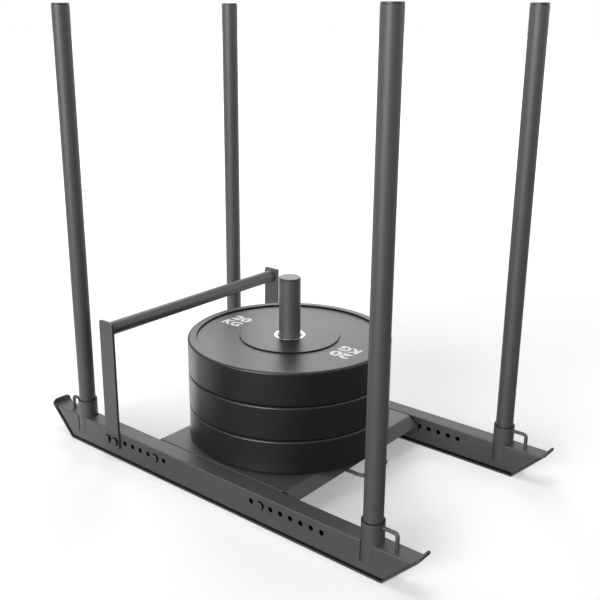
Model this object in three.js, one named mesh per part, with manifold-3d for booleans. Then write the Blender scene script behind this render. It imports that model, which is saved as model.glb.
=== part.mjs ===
// Push sled: rectangular runners on bent skids, a folded deck with a weight horn and three bumper
// plates, four lift-out push poles in sockets, a low push bar, harness loops and a tow loop.
// Millimetres and radians. +X is forward, +Y is left, +Z is up. The origin is on the floor under
// the middle of the sled.
import * as THREE from "three";
import { mergeVertices } from "three/addons/utils/BufferGeometryUtils.js";
import Module from "manifold-3d";

const wasm = await Module();
wasm.setup();

// Clearances and cutting
const SEAM = 0.3; // left between welded, bolted or resting faces
const OVERRUN = 5; // how far a cutting tool runs past the piece that it cuts

// Runners: rectangular tube on its narrow side
const RUNNER_SPACING = 512; // from centre to centre
const RUNNER_WIDTH = 40;
const RUNNER_HEIGHT = 60;
const RUNNER_WALL = 3;
const RUNNER_CORNER_RADIUS = 2;

// Skids: flat bar bent up under each runner, and the packing strip that holds them off the tube
const SKID_THICKNESS = 5;
const SKID_BEND_RADIUS = 6; // outer face
const SKID_FRONT_CORNER = 445; // where the flat sole ends, ahead of the origin
const SKID_REAR_CORNER = 454.5; // the same behind the origin
const SKID_TIP = 520; // outer face of the upright lip at the front
const SKID_REAR_TIP = 522.5; // the same at the rear
const SKID_TIP_HEIGHT = 82.5;
const SKID_TIP_RADIUS = 5;
const SKID_RAMP_ANGLE = Math.PI / 4;
const PACKER_THICKNESS = 4.2;
const PACKER_SETBACK = 5; // from each side of the runner

// Rows of bolt holes through both walls of the runners, alike at the front and the rear
const HOLE_DIAMETER = 10.6;
const HOLE_FIRST = 128.7; // from the middle of the sled
const HOLE_PITCH = 25.5;
const HOLE_COUNT = 8;
const HOLE_DROP = 20.8; // below the runners' top
const DECK_BOLT_HOLE = 1; // counted from 0 at the inner end of a row
const PUSH_BAR_FRONT_HOLE = 6;
const PUSH_BAR_REAR_HOLE = 7;

// Sockets and push poles
const SOCKET_SETBACK = 110; // of each socket's axis from the skid's lip
const SOCKET_DIAMETER = 45;
const SOCKET_WALL = 2;
const SOCKET_RISE = 38.7; // above the runners' top
const SOCKET_DEPTH = 42; // below it
const POLE_DIAMETER = 38;
const POLE_WALL = 2.5;
const POLE_HEIGHT = 1004; // of its cap's top above the floor

// Plastic bushings that line the sockets' mouths
const BUSHING_FLANGE = 3; // height of the ring on the socket's rim
const BUSHING_DEPTH = 22; // of its sleeve inside the socket
const POLE_CLEARANCE = 0.3; // between a pole and its bushing

// Plastic caps on the poles and on the weight horn
const CAP_HEAD = 4;
const CAP_CHAMFER = 1.2;
const CAP_PLUG = 15;

// Harness loops: bent rod between a socket and the runner
const LOOP_ROD = 8; // diameter
const LOOP_BEND = 9; // radius of the rod's axis
const LOOP_REACH = 52; // of the standing leg from the socket's axis
const LOOP_RISE = 31.5; // of the level leg above the runners' top

// Deck: one sheet with an apron folded down at each end and a flange on each side
const DECK_THICKNESS = 3;
const DECK_BEND_RADIUS = 4.5; // outer face
const DECK_MARGIN = 26.8; // from a deck bolt to the fold of the apron beyond it
const APRON_REACH = 23; // of an apron's lower edge past its fold
const APRON_DROP = 17.5; // of that edge below the deck's face
const APRON_RELIEF = 3; // slot between an apron and a flange
const FLANGE_HEIGHT = 36;

// Tow loop: bent rod under the front apron
const TOW_ROD = 8; // diameter
const TOW_BEND = 14; // radius of the rod's axis
const TOW_WIDTH = 92; // between the legs' axes
const TOW_REACH = 63; // of its cross bar's axis past the apron's fold
const TOW_TAIL = 54; // length of a leg behind the cross bar's axis
const TOW_HEIGHT = 48;

// Weight horn
const HORN_DIAMETER = 48;
const HORN_WALL = 3;
const HORN_HEIGHT = 432; // of its cap's top above the floor

// Bumper plates and the steel hubs moulded into them
const PLATE_NAMES = ["bottom", "middle", "top"];
const PLATE_DIAMETER = 455;
const PLATE_THICKNESS = 76.1; // over the rims
const PLATE_EDGE_RADIUS = 4;
const PLATE_RIM_WIDTH = 19.5;
const PLATE_RIM_RISE = 0.9; // above the boss and the hub
const PLATE_RECESS = 3; // below the boss
const PLATE_DRAFT = 1; // run of the sloping steps on its faces
const PLATE_BOSS_DIAMETER = 222;
const HUB_DIAMETER = 70;
const HUB_BORE = 50.6;
const HUB_CHAMFER = 3.7;
const ANCHOR_DIAMETER = 110; // flange round the hub, inside the rubber
const ANCHOR_THICKNESS = 8;

// Low push bar: a cross tube between two flat uprights
const PUSH_BAR_HEIGHT = 316.5; // of the tube's axis
const PUSH_BAR_DIAMETER = 30;
const PUSH_BAR_WALL = 2.5;
const PUSH_BAR_LEAD = 1.5; // of its axis ahead of the middle of its bolts
const UPRIGHT_WIDTH = 44;
const UPRIGHT_THICKNESS = 6;
const UPRIGHT_FOOT = 30; // above the floor
const UPRIGHT_TOP = 336.5;
const UPRIGHT_CORNER_RADIUS = 5;

// Hexagon bolts and nuts
const BOLT_DIAMETER = 10;
const BOLT_FLATS = 17;
const BOLT_HEAD = 6.4;
const BOLT_TAIL = 3; // beyond the nut
const NUT_HEIGHT = 8;

// Facets
const ROUND_SEGMENTS = 20;
const PLATE_SEGMENTS = 36;
const HUB_SEGMENTS = 20;
const HOLE_SEGMENTS = 9;
const ROD_SEGMENTS = 8;
const LOOP_STEPS = 10;
const TOW_STEPS = 22;
const BEND_SEGMENTS = 2;
const HEX_SIDES = 6;

// Places that follow from the sizes above
const RUNNER_BOTTOM = SKID_THICKNESS + PACKER_THICKNESS + 2 * SEAM;
const RUNNER_TOP = RUNNER_BOTTOM + RUNNER_HEIGHT;
const RUNNER_Y = RUNNER_SPACING / 2;
const INNER_FACE_Y = RUNNER_Y - RUNNER_WIDTH / 2;
const OUTER_FACE_Y = RUNNER_Y + RUNNER_WIDTH / 2;
const HOLE_HEIGHT = RUNNER_TOP - HOLE_DROP;
const SOCKET_REACH = SKID_TIP - SOCKET_SETBACK;
const SOCKET_FOOT = RUNNER_TOP - SOCKET_DEPTH;
const SOCKET_TOP = RUNNER_TOP + SOCKET_RISE;
const FOLD_X = holeX(DECK_BOLT_HOLE) + DECK_MARGIN;
const DECK_HALF_WIDTH = INNER_FACE_Y - SEAM;
const DECK_EDGE_X = FOLD_X + APRON_REACH;
const HUB_FIT = HUB_DIAMETER + 2 * SEAM;
const PUSH_BOLTS_X = { front: -holeX(PUSH_BAR_FRONT_HOLE), rear: -holeX(PUSH_BAR_REAR_HOLE) };
const PUSH_BAR_X = (PUSH_BOLTS_X.front + PUSH_BOLTS_X.rear) / 2 + PUSH_BAR_LEAD;

// Finishes
const POWDER_COAT = { color: 0x3d3e40, roughness: 0.55, metalness: 0.25 };
const RUBBER = { color: 0x1d1d1e, roughness: 0.75, metalness: 0 };
const STEEL = { color: 0xb9babb, roughness: 0.3, metalness: 0.9 };
const PLASTIC = { color: 0x242526, roughness: 0.45, metalness: 0 };
const BLACK_ZINC = { color: 0x2f3032, roughness: 0.4, metalness: 0.6 };

// Distance of a hole from the middle of the sled, by its number in the row
function holeX(number) {
  return HOLE_FIRST + number * HOLE_PITCH;
}

// A closed geometry as a solid that can be cut and joined
function solidOf(geometry) {
  const bare = geometry.clone();
  bare.deleteAttribute("normal");
  bare.deleteAttribute("uv");
  const merged = mergeVertices(bare);
  return new wasm.Manifold(
    new wasm.Mesh({
      numProp: 3,
      vertProperties: merged.attributes.position.array,
      triVerts: new Uint32Array(merged.index.array),
    }),
  );
}

// A solid as a geometry again
function geometryOf(solid) {
  const mesh = solid.getMesh();
  const geometry = new THREE.BufferGeometry();
  geometry.setAttribute("position", new THREE.BufferAttribute(mesh.vertProperties, mesh.numProp));
  geometry.setIndex(new THREE.BufferAttribute(mesh.triVerts, 1));
  geometry.computeVertexNormals();
  return geometry;
}

// The body less every tool
function cut(body, tools) {
  return geometryOf(tools.reduce((solid, tool) => solid.subtract(solidOf(tool)), solidOf(body)));
}

// The pieces as one body
function join(pieces) {
  return geometryOf(pieces.map(solidOf).reduce((solid, piece) => solid.add(piece)));
}

// A ring or disc turned about Z from a closed profile of [radius, height] pairs
function turned(profile, segments) {
  const points = profile.map(([radius, height]) => new THREE.Vector2(radius, height));
  return new THREE.LatheGeometry(points, segments).rotateX(Math.PI / 2);
}

// A round tube along Z that stands on z = 0
function roundTube(diameter, wall, length, segments = ROUND_SEGMENTS) {
  const outer = diameter / 2;
  const inner = outer - wall;
  return turned([[inner, 0], [outer, 0], [outer, length], [inner, length], [inner, 0]], segments);
}

// A solid round bar along Y, centred on the origin
function crossBar(diameter, length, segments = HOLE_SEGMENTS) {
  return new THREE.CylinderGeometry(diameter / 2, diameter / 2, length, segments);
}

// A shape drawn in X and Z, extruded along Y and centred on y = 0
function extrudeAcross(shape, width, curveSegments = BEND_SEGMENTS) {
  const options = { depth: width, bevelEnabled: false, curveSegments };
  return new THREE.ExtrudeGeometry(shape, options).rotateX(Math.PI / 2).translate(0, width / 2, 0);
}

// A shape drawn in Y and Z, extruded along X and centred on x = 0
function extrudeAlong(shape, length, curveSegments = BEND_SEGMENTS) {
  const options = { depth: length, bevelEnabled: false, curveSegments };
  const geometry = new THREE.ExtrudeGeometry(shape, options).translate(0, 0, -length / 2);
  return geometry.rotateX(Math.PI / 2).rotateZ(Math.PI / 2);
}

// Adds a rectangle with round corners, centred on (0, middle), to a shape or a hole
function roundedRectangle(path, width, height, radius, middle = 0) {
  const x = width / 2 - radius;
  const low = middle - height / 2 + radius;
  const high = middle + height / 2 - radius;
  path.absarc(x, low, radius, -Math.PI / 2, 0);
  path.absarc(x, high, radius, 0, Math.PI / 2);
  path.absarc(-x, high, radius, Math.PI / 2, Math.PI);
  path.absarc(-x, low, radius, Math.PI, 1.5 * Math.PI);
  path.closePath();
  return path;
}

// The outline of a bent strip. Its outer face follows the points, which turn one way all along,
// and its thickness lies on the side to which they turn.
function bentStrip(points, thickness, outerRadius) {
  const corners = points.map(([x, y]) => new THREE.Vector2(x, y));
  const heads = corners.slice(1).map((corner, i) => corner.clone().sub(corners[i]).normalize());
  const side = Math.sign(heads[0].cross(heads[1]));
  const inward = (head) => new THREE.Vector2(-head.y, head.x).multiplyScalar(side);
  const bends = corners.slice(1, -1).map((corner, i) => {
    const before = inward(heads[i]);
    const after = inward(heads[i + 1]);
    const reach = outerRadius / (1 + before.dot(after));
    const centre = corner.clone().addScaledVector(before.clone().add(after), reach);
    return { centre, start: before.clone().negate().angle(), end: after.clone().negate().angle() };
  });
  const last = corners.length - 1;
  const shape = new THREE.Shape();
  shape.moveTo(corners[0].x, corners[0].y);
  for (const { centre, start, end } of bends) {
    shape.absarc(centre.x, centre.y, outerRadius, start, end, side < 0);
  }
  const far = corners[last].clone();
  shape.lineTo(far.x, far.y);
  far.addScaledVector(inward(heads[last - 1]), thickness);
  shape.lineTo(far.x, far.y);
  for (const { centre, start, end } of bends.reverse()) {
    shape.absarc(centre.x, centre.y, outerRadius - thickness, end, start, side > 0);
  }
  const near = corners[0].clone().addScaledVector(inward(heads[0]), thickness);
  shape.lineTo(near.x, near.y);
  shape.closePath();
  return shape;
}

// Round rod bent along the points, with an arc of the given radius at each corner
function bentRod(points, diameter, radius, steps) {
  const corners = points.map((point) => new THREE.Vector3(...point));
  const path = new THREE.CurvePath();
  let from = corners[0];
  for (let i = 1; i < corners.length - 1; i += 1) {
    const back = corners[i - 1].clone().sub(corners[i]).normalize();
    const ahead = corners[i + 1].clone().sub(corners[i]).normalize();
    const start = corners[i].clone().addScaledVector(back, radius);
    const end = corners[i].clone().addScaledVector(ahead, radius);
    path.add(new THREE.LineCurve3(from, start));
    path.add(squareBend(start, corners[i], end));
    from = end;
  }
  path.add(new THREE.LineCurve3(from, corners[corners.length - 1]));
  const section = new THREE.Shape().absarc(0, 0, diameter / 2, 0, 2 * Math.PI);
  const options = { steps, extrudePath: path, bevelEnabled: false, curveSegments: ROD_SEGMENTS / 2 };
  return new THREE.ExtrudeGeometry(section, options);
}

// A quarter circle from start to end, whose tangents meet at the corner
function squareBend(start, corner, end) {
  const centre = start.clone().add(end).sub(corner);
  const bend = new THREE.Curve();
  bend.getPoint = (t, target = new THREE.Vector3()) => {
    const angle = (t * Math.PI) / 2;
    const fromStart = start.clone().sub(centre).multiplyScalar(Math.cos(angle));
    const fromEnd = end.clone().sub(centre).multiplyScalar(Math.sin(angle));
    return target.copy(centre).add(fromStart).add(fromEnd);
  };
  return bend;
}

// Every vertex forward or rearward of the middle moved onto a plane that leans outward
function mitreEnds(geometry, frontAtFloor, rearAtFloor, angle) {
  const position = geometry.getAttribute("position");
  for (let i = 0; i < position.count; i += 1) {
    const slope = position.getZ(i) / Math.tan(angle);
    const forward = position.getX(i) > 0;
    position.setX(i, forward ? frontAtFloor + slope : -rearAtFloor - slope);
  }
  return geometry;
}

// Rectangular tube with mitred ends, two rows of bolt holes and a seat for each socket
function runner() {
  const corner = RUNNER_CORNER_RADIUS;
  const section = roundedRectangle(new THREE.Shape(), RUNNER_WIDTH, RUNNER_HEIGHT, corner);
  const hollowWidth = RUNNER_WIDTH - 2 * RUNNER_WALL;
  const hollowHeight = RUNNER_HEIGHT - 2 * RUNNER_WALL;
  section.holes.push(roundedRectangle(new THREE.Path(), hollowWidth, hollowHeight, corner / 2));
  const tube = extrudeAlong(section, 2 * SKID_TIP);
  tube.translate(0, 0, RUNNER_BOTTOM + RUNNER_HEIGHT / 2);
  const skidAtFloor = (SKID_THICKNESS + SEAM) / Math.sin(SKID_RAMP_ANGLE);
  const mitred = mitreEnds(
    tube,
    SKID_FRONT_CORNER - skidAtFloor,
    SKID_REAR_CORNER - skidAtFloor,
    SKID_RAMP_ANGLE,
  );
  const tools = [];
  for (const end of [1, -1]) {
    for (let number = 0; number < HOLE_COUNT; number += 1) {
      const drill = crossBar(HOLE_DIAMETER, RUNNER_WIDTH + 2 * OVERRUN);
      tools.push(drill.translate(end * holeX(number), 0, HOLE_HEIGHT));
    }
    const depth = SOCKET_DEPTH + SEAM;
    const radius = SOCKET_DIAMETER / 2 + SEAM;
    const seat = turned([[0, -depth], [radius, -depth], [radius, OVERRUN], [0, OVERRUN]], ROUND_SEGMENTS);
    tools.push(seat.translate(end * SOCKET_REACH, 0, RUNNER_TOP));
  }
  return cut(mitred, tools);
}

// Flat bar bent up at both ends into ramps and upright lips with round corners
function skid() {
  const slope = Math.tan(SKID_RAMP_ANGLE);
  const strip = bentStrip(
    [
      [-SKID_REAR_TIP, SKID_TIP_HEIGHT],
      [-SKID_REAR_TIP, (SKID_REAR_TIP - SKID_REAR_CORNER) * slope],
      [-SKID_REAR_CORNER, 0],
      [SKID_FRONT_CORNER, 0],
      [SKID_TIP, (SKID_TIP - SKID_FRONT_CORNER) * slope],
      [SKID_TIP, SKID_TIP_HEIGHT],
    ],
    SKID_THICKNESS,
    SKID_BEND_RADIUS,
  );
  const bar = extrudeAcross(strip, RUNNER_WIDTH);
  const front = new THREE.Shape();
  const half = RUNNER_WIDTH / 2;
  const shoulder = SKID_TIP_HEIGHT - SKID_TIP_RADIUS;
  front.moveTo(-half - OVERRUN, -OVERRUN);
  front.lineTo(half + OVERRUN, -OVERRUN);
  front.lineTo(half + OVERRUN, shoulder);
  front.lineTo(half, shoulder);
  front.absarc(half - SKID_TIP_RADIUS, shoulder, SKID_TIP_RADIUS, 0, Math.PI / 2);
  front.absarc(-half + SKID_TIP_RADIUS, shoulder, SKID_TIP_RADIUS, Math.PI / 2, Math.PI);
  front.lineTo(-half - OVERRUN, shoulder);
  front.closePath();
  const envelope = extrudeAlong(front, 2 * (SKID_REAR_TIP + OVERRUN));
  return geometryOf(solidOf(bar).intersect(solidOf(envelope)));
}

// Packing strip between a skid's sole and the runner, set back from both sides
function skidPacker() {
  const foot = SKID_THICKNESS + SEAM;
  const rise = foot + PACKER_THICKNESS;
  const inset = (SKID_THICKNESS + SEAM) / Math.sin(SKID_RAMP_ANGLE);
  const front = SKID_FRONT_CORNER - inset;
  const rear = SKID_REAR_CORNER - inset;
  const bend = (SKID_BEND_RADIUS - SKID_THICKNESS) / 2;
  const outline = new THREE.Shape();
  outline.moveTo(-rear - foot + bend, foot);
  outline.lineTo(front + foot - bend, foot);
  outline.lineTo(front + rise, rise);
  outline.lineTo(-rear - rise, rise);
  outline.closePath();
  return extrudeAcross(outline, RUNNER_WIDTH - 2 * PACKER_SETBACK);
}

// Sleeve through the runner's top that holds a push pole
function socket() {
  return roundTube(SOCKET_DIAMETER, SOCKET_WALL, SOCKET_TOP - SOCKET_FOOT);
}

// Bushing with a sleeve inside the socket and a flange on its rim, which lies at z = 0
function bushing() {
  const bore = POLE_DIAMETER / 2 + POLE_CLEARANCE;
  const sleeve = SOCKET_DIAMETER / 2 - SOCKET_WALL - SEAM;
  const flange = SOCKET_DIAMETER / 2;
  const top = SEAM + BUSHING_FLANGE;
  return turned(
    [
      [bore, -BUSHING_DEPTH],
      [sleeve, -BUSHING_DEPTH],
      [sleeve, SEAM],
      [flange, SEAM],
      [flange, top],
      [bore, top],
      [bore, -BUSHING_DEPTH],
    ],
    ROUND_SEGMENTS,
  );
}

// Push pole: round tube that stands on the runner's walls inside its socket
function pole() {
  return roundTube(POLE_DIAMETER, POLE_WALL, POLE_HEIGHT - CAP_HEAD - SEAM - SOCKET_FOOT);
}

// Push-in cap for a tube, with its head's top at z = 0
function tubeCap(diameter, wall) {
  const head = diameter / 2;
  const plug = head - wall - SEAM;
  return turned(
    [
      [0, -CAP_HEAD - CAP_PLUG],
      [plug, -CAP_HEAD - CAP_PLUG],
      [plug, -CAP_HEAD],
      [head, -CAP_HEAD],
      [head, -CAP_CHAMFER],
      [head - CAP_CHAMFER, 0],
      [0, 0],
    ],
    ROUND_SEGMENTS,
  );
}

// Bent rod from a socket's side out and down to the runner's top, for a socket at the origin
function harnessLoop() {
  return bentRod(
    [
      [SOCKET_DIAMETER / 2 + SEAM, 0, LOOP_RISE],
      [LOOP_REACH, 0, LOOP_RISE],
      [LOOP_REACH, 0, SEAM],
    ],
    LOOP_ROD,
    LOOP_BEND,
    LOOP_STEPS,
  );
}

// Deck sheet with its aprons, side flanges, bolt holes and the notches for the tow loop
function deck() {
  const lip = RUNNER_TOP - APRON_DROP;
  const flangeFoot = RUNNER_TOP - FLANGE_HEIGHT;
  const slab = bentStrip(
    [[-DECK_EDGE_X, lip], [-FOLD_X, RUNNER_TOP], [FOLD_X, RUNNER_TOP], [DECK_EDGE_X, lip]],
    DECK_THICKNESS,
    DECK_BEND_RADIUS,
  );
  const apronWidth = 2 * (DECK_HALF_WIDTH - DECK_THICKNESS - APRON_RELIEF);
  const channel = bentStrip(
    [
      [-DECK_HALF_WIDTH, flangeFoot],
      [-DECK_HALF_WIDTH, RUNNER_TOP],
      [DECK_HALF_WIDTH, RUNNER_TOP],
      [DECK_HALF_WIDTH, flangeFoot],
    ],
    DECK_THICKNESS,
    DECK_BEND_RADIUS,
  );
  const flangeTop = RUNNER_TOP - DECK_BEND_RADIUS;
  const flange = new THREE.Shape();
  flange.moveTo(-DECK_EDGE_X, flangeFoot);
  flange.lineTo(DECK_EDGE_X, flangeFoot);
  flange.lineTo(DECK_EDGE_X, lip);
  flange.lineTo(FOLD_X, flangeTop);
  flange.lineTo(-FOLD_X, flangeTop);
  flange.lineTo(-DECK_EDGE_X, lip);
  flange.closePath();
  const channelLength = 2 * (FOLD_X - DECK_BEND_RADIUS);
  const pieces = [extrudeAcross(slab, apronWidth), extrudeAlong(channel, channelLength)];
  const tools = [];
  for (const side of [1, -1]) {
    const middle = side * (DECK_HALF_WIDTH - DECK_THICKNESS / 2);
    pieces.push(extrudeAcross(flange, DECK_THICKNESS).translate(0, middle, 0));
    for (const end of [1, -1]) {
      const drill = crossBar(HOLE_DIAMETER, DECK_THICKNESS + 2 * OVERRUN);
      tools.push(drill.translate(end * holeX(DECK_BOLT_HOLE), middle, HOLE_HEIGHT));
    }
    const notch = crossBar(TOW_ROD + 2 * SEAM, TOW_TAIL + TOW_REACH).rotateZ(Math.PI / 2);
    const notchX = FOLD_X + TOW_REACH - TOW_TAIL / 2;
    tools.push(notch.translate(notchX, (side * TOW_WIDTH) / 2, TOW_HEIGHT));
  }
  return cut(join(pieces), tools);
}

// U of rod whose legs lie in the front apron's notches
function towLoop() {
  const bar = FOLD_X + TOW_REACH;
  const tail = bar - TOW_TAIL;
  const side = TOW_WIDTH / 2;
  return bentRod(
    [
      [tail, -side, TOW_HEIGHT],
      [bar, -side, TOW_HEIGHT],
      [bar, side, TOW_HEIGHT],
      [tail, side, TOW_HEIGHT],
    ],
    TOW_ROD,
    TOW_BEND,
    TOW_STEPS,
  );
}

// Weight horn: round post that stands on the deck
function horn() {
  return roundTube(HORN_DIAMETER, HORN_WALL, HORN_HEIGHT - CAP_HEAD - 2 * SEAM - RUNNER_TOP);
}

// Half of a plate's section, from its upper boss edge to its mid height, as [radius, height]
function plateFace() {
  const top = PLATE_THICKNESS / 2;
  const bossTop = top - PLATE_RIM_RISE;
  const floor = bossTop - PLATE_RECESS;
  const rim = PLATE_DIAMETER / 2;
  const step = rim - PLATE_RIM_WIDTH;
  const boss = PLATE_BOSS_DIAMETER / 2;
  const sine = PLATE_EDGE_RADIUS * Math.sin(Math.PI / 4);
  return [
    [rim, top - PLATE_EDGE_RADIUS],
    [rim - PLATE_EDGE_RADIUS + sine, top - PLATE_EDGE_RADIUS + sine],
    [rim - PLATE_EDGE_RADIUS, top],
    [step, top],
    [step - PLATE_DRAFT, floor],
    [boss + PLATE_DRAFT, floor],
    [boss, bossTop],
    [HUB_FIT / 2, bossTop],
  ];
}

// The lower half as the mirror image of an upper half, so that the whole profile runs upward
function mirrored(upper) {
  return [...upper].reverse().map(([radius, height]) => [radius, -height]);
}

// Rubber disc with a groove inside that grips the hub's anchor flange
function plate() {
  const face = plateFace();
  const groove = ANCHOR_THICKNESS / 2 + SEAM;
  const anchor = ANCHOR_DIAMETER / 2 + SEAM;
  const bore = [[HUB_FIT / 2, groove], [anchor, groove], [anchor, -groove], [HUB_FIT / 2, -groove]];
  const profile = [...mirrored(face), ...face, ...bore];
  return turned([...profile, profile[0]], PLATE_SEGMENTS);
}

// Steel sleeve with chamfered mouths and an anchor flange at mid height
function hub() {
  const top = PLATE_THICKNESS / 2 - PLATE_RIM_RISE;
  const rim = HUB_DIAMETER / 2;
  const bore = HUB_BORE / 2;
  const anchor = ANCHOR_DIAMETER / 2;
  const web = ANCHOR_THICKNESS / 2;
  const upper = [
    [anchor, web],
    [rim, web],
    [rim, top],
    [bore + HUB_CHAMFER, top],
    [bore, top - HUB_CHAMFER],
  ];
  const profile = [...mirrored(upper), ...upper];
  return turned([...profile, profile[0]], HUB_SEGMENTS);
}

// Flat upright of the push bar, drilled to match the runner's rear row of holes
function upright() {
  const height = UPRIGHT_TOP - UPRIGHT_FOOT;
  const middle = (UPRIGHT_TOP + UPRIGHT_FOOT) / 2;
  const outline = roundedRectangle(
    new THREE.Shape(),
    UPRIGHT_WIDTH,
    height,
    UPRIGHT_CORNER_RADIUS,
    middle,
  );
  const bar = extrudeAcross(outline, UPRIGHT_THICKNESS);
  const drills = Object.values(PUSH_BOLTS_X).map((x) => {
    const drill = crossBar(HOLE_DIAMETER, UPRIGHT_THICKNESS + 2 * OVERRUN);
    return drill.translate(x - PUSH_BAR_X, 0, HOLE_HEIGHT);
  });
  return cut(bar, drills);
}

// Cross tube of the push bar, along Y
function pushBarTube() {
  const length = 2 * OUTER_FACE_Y;
  const tube = roundTube(PUSH_BAR_DIAMETER, PUSH_BAR_WALL, length);
  return tube.translate(0, 0, -length / 2).rotateX(Math.PI / 2);
}

// Hexagon prism along Y, centred on the origin
function hexagon(thickness) {
  const acrossCorners = BOLT_FLATS / Math.cos(Math.PI / HEX_SIDES);
  return crossBar(acrossCorners, thickness, HEX_SIDES);
}

// Bolt along Y whose head bears on y = 0 and whose shank runs towards -Y through the grip
function bolt(grip) {
  const inHead = SEAM + BOLT_HEAD / 2;
  const length = inHead + grip + SEAM + NUT_HEIGHT + BOLT_TAIL;
  const head = hexagon(BOLT_HEAD).translate(0, inHead, 0);
  const shank = crossBar(BOLT_DIAMETER, length).translate(0, inHead - length / 2, 0);
  return join([head, shank]);
}

// Nut along Y whose bearing face is SEAM below y = 0
function nut() {
  const body = hexagon(NUT_HEIGHT).translate(0, -SEAM - NUT_HEIGHT / 2, 0);
  const bore = crossBar(BOLT_DIAMETER + 2 * SEAM, NUT_HEIGHT + 2 * OVERRUN);
  return cut(body, [bore.translate(0, -SEAM - NUT_HEIGHT / 2, 0)]);
}

const sled = new THREE.Group();

function place(name, geometry, finish, position) {
  const mesh = new THREE.Mesh(geometry, new THREE.MeshStandardMaterial(finish));
  mesh.name = name;
  mesh.position.set(...position);
  sled.add(mesh);
  return mesh;
}

const SIDES = [
  { side: "left", sign: 1 },
  { side: "right", sign: -1 },
];
const ENDS = [
  { end: "front", way: 1 },
  { end: "rear", way: -1 },
];

// Runners, skids and packers
for (const { side, sign } of SIDES) {
  const y = sign * RUNNER_Y;
  place(`${side}_runner`, runner(), POWDER_COAT, [0, y, 0]);
  place(`${side}_skid`, skid(), POWDER_COAT, [0, y, 0]);
  place(`${side}_skid_packer`, skidPacker(), RUBBER, [0, y, 0]);
}

// Sockets, bushings, poles, caps and harness loops at the four corners
for (const { side, sign } of SIDES) {
  for (const { end, way } of ENDS) {
    const corner = `${side}_${end}`;
    const x = way * SOCKET_REACH;
    const y = sign * RUNNER_Y;
    place(`${corner}_socket`, socket(), POWDER_COAT, [x, y, SOCKET_FOOT]);
    place(`${corner}_bushing`, bushing(), PLASTIC, [x, y, SOCKET_TOP]);
    place(`${corner}_pole`, pole(), POWDER_COAT, [x, y, SOCKET_FOOT]);
    place(`${corner}_pole_cap`, tubeCap(POLE_DIAMETER, POLE_WALL), PLASTIC, [x, y, POLE_HEIGHT]);
    const loop = place(`${corner}_harness_loop`, harnessLoop(), POWDER_COAT, [x, y, RUNNER_TOP]);
    loop.rotation.z = way > 0 ? 0 : Math.PI;
  }
}

// Deck, its fasteners, the tow loop and the horn
place("deck", deck(), POWDER_COAT, [0, 0, 0]);
place("tow_loop", towLoop(), POWDER_COAT, [0, 0, 0]);
place("weight_horn", horn(), POWDER_COAT, [0, 0, RUNNER_TOP + SEAM]);
place("horn_cap", tubeCap(HORN_DIAMETER, HORN_WALL), PLASTIC, [0, 0, HORN_HEIGHT]);

// One bolt and its nut through a runner's wall, turned to face out of the sled
function fasten(name, x, sign, headY, nutY) {
  const turn = sign > 0 ? 0 : Math.PI;
  const fixing = place(`${name}_bolt`, bolt(headY - nutY), BLACK_ZINC, [x, sign * headY, HOLE_HEIGHT]);
  fixing.rotation.z = turn;
  const lock = place(`${name}_nut`, nut(), BLACK_ZINC, [x, sign * nutY, HOLE_HEIGHT]);
  lock.rotation.z = turn;
}

for (const { side, sign } of SIDES) {
  for (const { end, way } of ENDS) {
    const x = way * holeX(DECK_BOLT_HOLE);
    fasten(`${side}_${end}_deck`, x, sign, OUTER_FACE_Y, DECK_HALF_WIDTH - DECK_THICKNESS);
  }
}

// Plates and hubs, stacked on the deck
PLATE_NAMES.forEach((name, level) => {
  const middle = RUNNER_TOP + SEAM + level * (PLATE_THICKNESS + SEAM) + PLATE_THICKNESS / 2;
  place(`${name}_plate`, plate(), RUBBER, [0, 0, middle]);
  place(`${name}_plate_hub`, hub(), STEEL, [0, 0, middle]);
});

// Push bar
const UPRIGHT_FACE_Y = OUTER_FACE_Y + SEAM + UPRIGHT_THICKNESS;
place("push_bar_tube", pushBarTube(), POWDER_COAT, [PUSH_BAR_X, 0, PUSH_BAR_HEIGHT]);
for (const { side, sign } of SIDES) {
  const y = sign * (UPRIGHT_FACE_Y - UPRIGHT_THICKNESS / 2);
  place(`${side}_push_bar_upright`, upright(), POWDER_COAT, [PUSH_BAR_X, y, 0]);
  for (const { end } of ENDS) {
    fasten(`${side}_${end}_push_bar`, PUSH_BOLTS_X[end], sign, UPRIGHT_FACE_Y, INNER_FACE_Y);
  }
}

export default sled;
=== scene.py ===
# %% [markdown]
# # A push sled, dressed for its photograph
# The real sled is a weldment: two runners of rectangular tube on bent skids, a folded deck between
# them, a post that holds bumper plates, and four poles that lift out of their sockets. The packed
# model gives every piece its place and its size. This script gives each one its fine shape and its
# finish, and never moves a piece. All lengths are in metres.

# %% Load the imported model
import math

import bmesh
import bpy
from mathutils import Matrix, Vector


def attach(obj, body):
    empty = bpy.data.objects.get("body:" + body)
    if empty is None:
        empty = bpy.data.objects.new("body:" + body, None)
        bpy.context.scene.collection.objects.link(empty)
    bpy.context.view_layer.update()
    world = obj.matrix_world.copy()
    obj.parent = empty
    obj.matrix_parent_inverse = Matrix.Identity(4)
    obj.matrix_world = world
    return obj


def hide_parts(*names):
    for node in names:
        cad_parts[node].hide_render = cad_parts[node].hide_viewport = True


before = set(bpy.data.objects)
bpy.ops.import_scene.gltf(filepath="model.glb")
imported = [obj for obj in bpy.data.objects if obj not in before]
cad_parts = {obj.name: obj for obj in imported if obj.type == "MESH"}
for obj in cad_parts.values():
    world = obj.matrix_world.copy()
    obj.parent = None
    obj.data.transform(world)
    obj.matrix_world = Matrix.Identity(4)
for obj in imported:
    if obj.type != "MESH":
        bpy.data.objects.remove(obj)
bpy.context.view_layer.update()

MM = 0.001

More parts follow.
